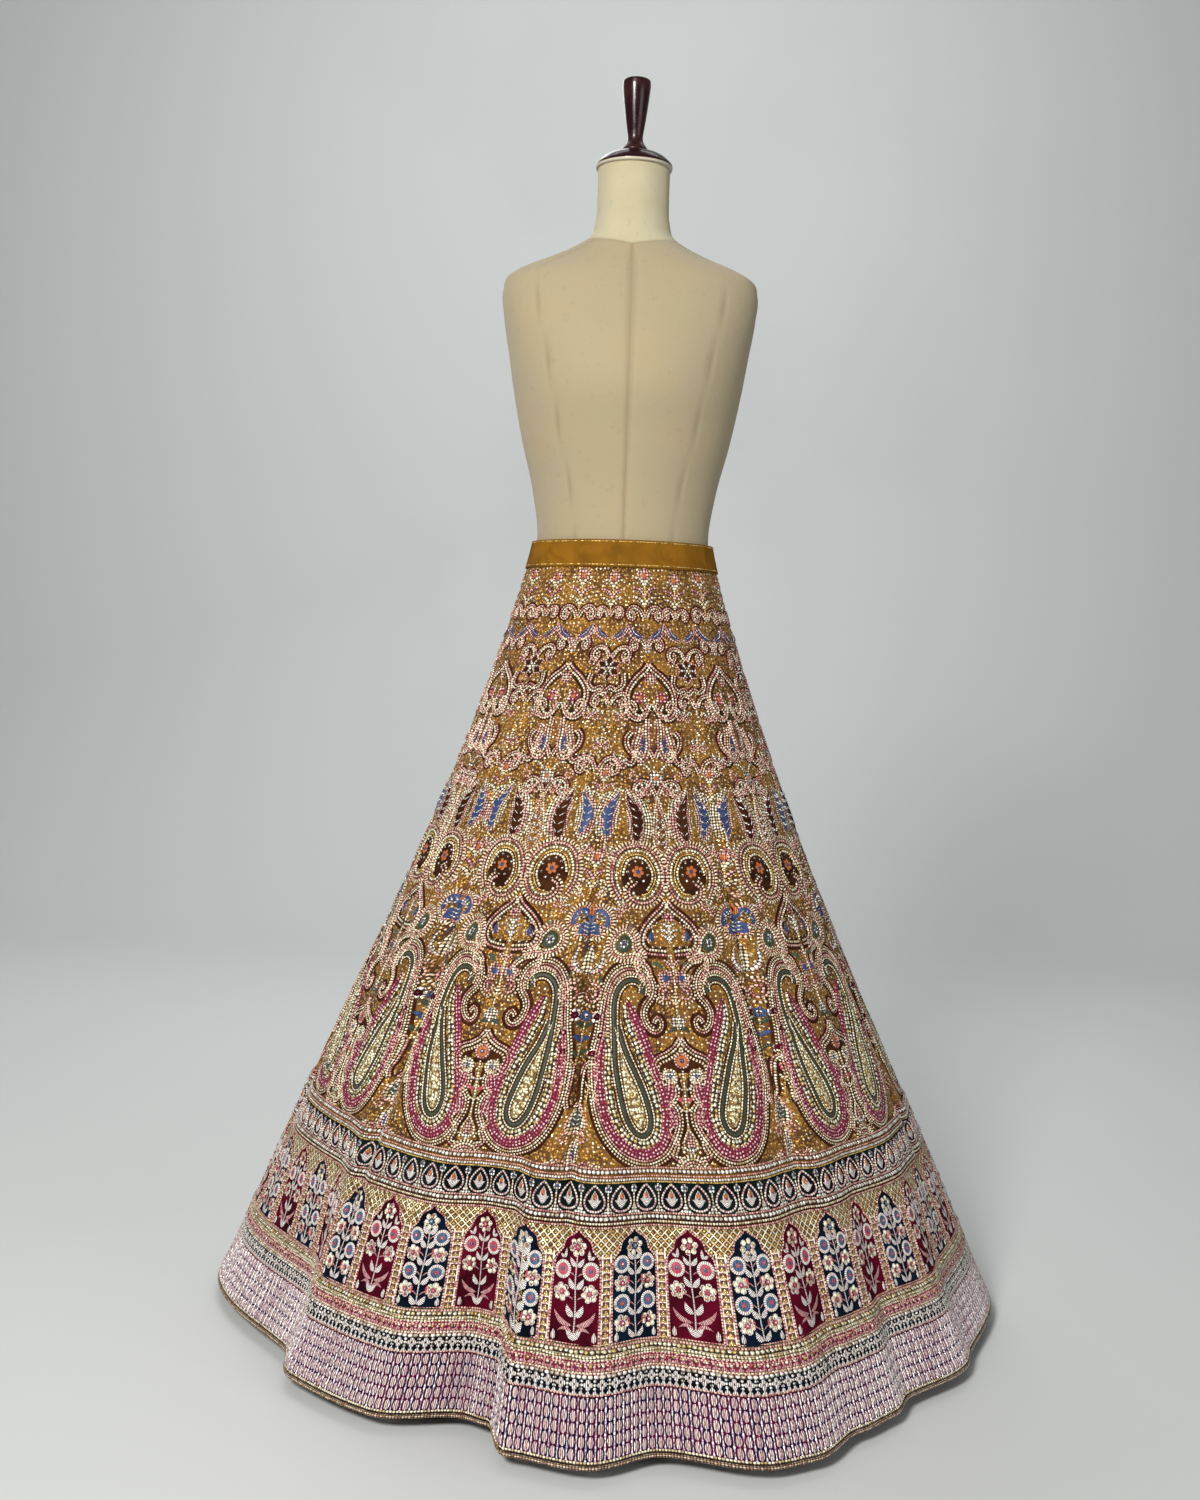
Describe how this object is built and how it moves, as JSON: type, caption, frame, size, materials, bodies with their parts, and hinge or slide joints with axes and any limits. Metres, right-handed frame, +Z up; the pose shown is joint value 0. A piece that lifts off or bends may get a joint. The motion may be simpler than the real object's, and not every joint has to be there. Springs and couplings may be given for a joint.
{
  "type": "lehenga skirt on a dress form",
  "caption": "Flared embroidered velvet lehenga skirt with paisley panels, an arched floral border and a braided hem, worn by a canvas dress form on a round stand.",
  "frame": {"origin": "centre of the stand's underside, on the floor", "axes": "+Z up, the skirt's front faces -Y, +X is to the right as the front is looked at"},
  "size_m": [1.0564, 1.0777, 1.6726],
  "materials": {
    "mustard_velvet": "velvet, worked all over",
    "navy_velvet": "velvet, worked all over",
    "gold_thread_ground": "gold thread trellis with velvet arches",
    "gold_braid": "beaded braid",
    "rose_braid": "beaded braid",
    "diamond_braid": "beaded braid",
    "rose_sequin_work": "sequin and thread work",
    "piping": "satin piping",
    "canvas": "plain cotton canvas",
    "lacquered_wood": "dark gloss lacquer",
    "stand_metal": "satin black"
  },
  "bodies": {
    "root": {"arch_border": "gold_thread_ground", "diamond_braid": "diamond_braid", "drop_border": "navy_velvet", "form_body": "canvas", "gold_braid": "gold_braid", "hem_border": "rose_sequin_work", "hem_piping": "piping", "kali_1": "mustard_velvet", "kali_2": "mustard_velvet", "kali_3": "mustard_velvet", "kali_4": "mustard_velvet", "kali_5": "mustard_velvet", "kali_6": "mustard_velvet", "kali_7": "mustard_velvet", "kali_8": "mustard_velvet", "kali_9": "mustard_velvet", "neck_cap": "lacquered_wood", "neck_handle": "lacquered_wood", "rose_braid": "rose_braid", "stand_base": "stand_metal", "stand_hub": "stand_metal", "stand_pole": "stand_metal", "waistband": "mustard_velvet", "waistband_tab": "mustard_velvet"}
  },
  "joints": []
}
